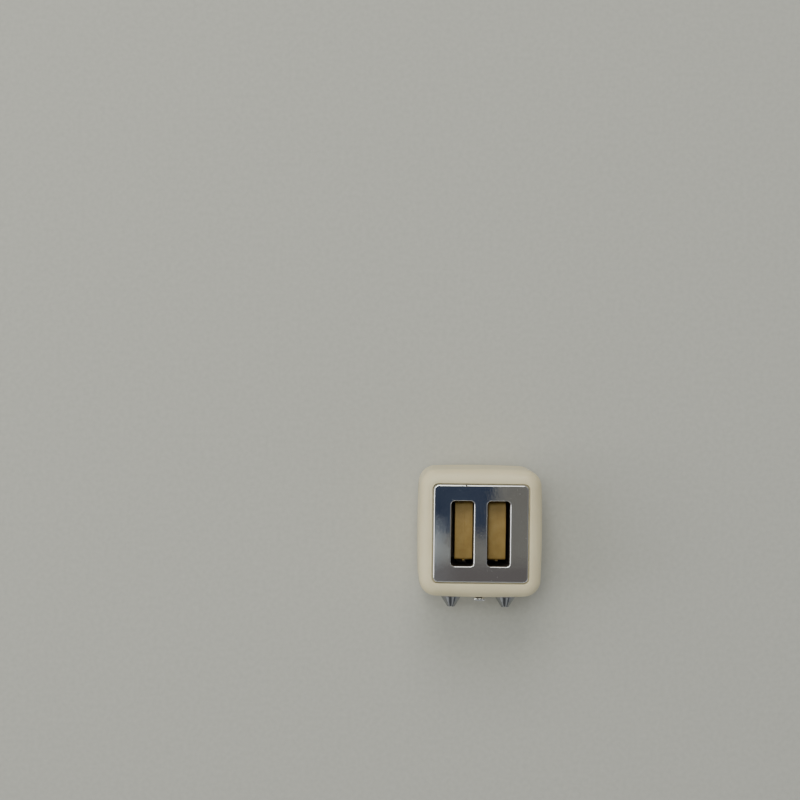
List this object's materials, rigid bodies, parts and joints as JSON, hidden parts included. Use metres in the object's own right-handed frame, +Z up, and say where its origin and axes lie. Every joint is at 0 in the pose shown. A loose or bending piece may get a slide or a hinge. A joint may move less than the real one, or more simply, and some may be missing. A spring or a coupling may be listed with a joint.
{
  "type": "toy toaster",
  "caption": "Doll's-house pop-up toaster: cream rounded shell, bright top plate with two slots, loose toast on a sprung carriage, front lever between turning knobs.",
  "frame": {"origin": "on the surface it stands on, under the middle of the whole object's box, knobs included", "axes": "+Z up; -Y to the front, where the lever and the knobs are; +X to the right seen from the front"},
  "size_m": [0.0288, 0.0332, 0.022],
  "materials": {
    "cream_abs": "moulded warm cream ABS, satin to semi-gloss",
    "bright_plating": "bright mirror chrome, vacuum-plated over moulded ABS",
    "black_abs": "moulded black ABS",
    "toast_plastic": "moulded tan plastic, low sheen",
    "spring_steel": "drawn wire and stamped ring, bare",
    "screw_steel": "zinc-plated",
    "foot_rubber": "moulded dark rubber"
  },
  "bodies": {
    "root": {"body_shell": "cream_abs", "top_plate": "bright_plating", "slot_liner": "black_abs", "base_plate": "black_abs", "lift_spring": "spring_steel", "base_screw_front_left": "screw_steel", "base_screw_front_right": "screw_steel", "base_screw_back_left": "screw_steel", "base_screw_back_right": "screw_steel", "foot_front_left": "foot_rubber", "foot_front_right": "foot_rubber", "foot_back_left": "foot_rubber", "foot_back_right": "foot_rubber"},
    "lever": {"carriage": "black_abs", "lever_handle": "bright_plating"},
    "toast_left": {"toast_left": "toast_plastic"},
    "toast_right": {"toast_right": "toast_plastic"},
    "knob_left": {"knob_left": "bright_plating", "knob_clip_left": "spring_steel"},
    "knob_right": {"knob_right": "bright_plating", "knob_clip_right": "spring_steel"}
  },
  "joints": [
    {"name": "lever_slide", "type": "slide", "parent": "root", "child": "lever", "axis": [0, 0, 1], "range_m": [-0.004, 0], "stiffness_N_per_m": 20, "springref_m": 0.003, "deforming": ["lift_spring"]},
    {"name": "toast_left_lift", "type": "slide", "parent": "lever", "child": "toast_left", "axis": [0, 0, 1], "range_m": [0, 0.016]},
    {"name": "toast_right_lift", "type": "slide", "parent": "lever", "child": "toast_right", "axis": [0, 0, 1], "range_m": [0, 0.016]},
    {"name": "knob_left_turn", "type": "hinge", "parent": "root", "child": "knob_left", "pos_m": [-0.0064, -0.01365, 0.012], "axis": [0, 1, 0], "continuous": true},
    {"name": "knob_right_turn", "type": "hinge", "parent": "root", "child": "knob_right", "pos_m": [0.0064, -0.01365, 0.012], "axis": [0, 1, 0], "continuous": true}
  ]
}
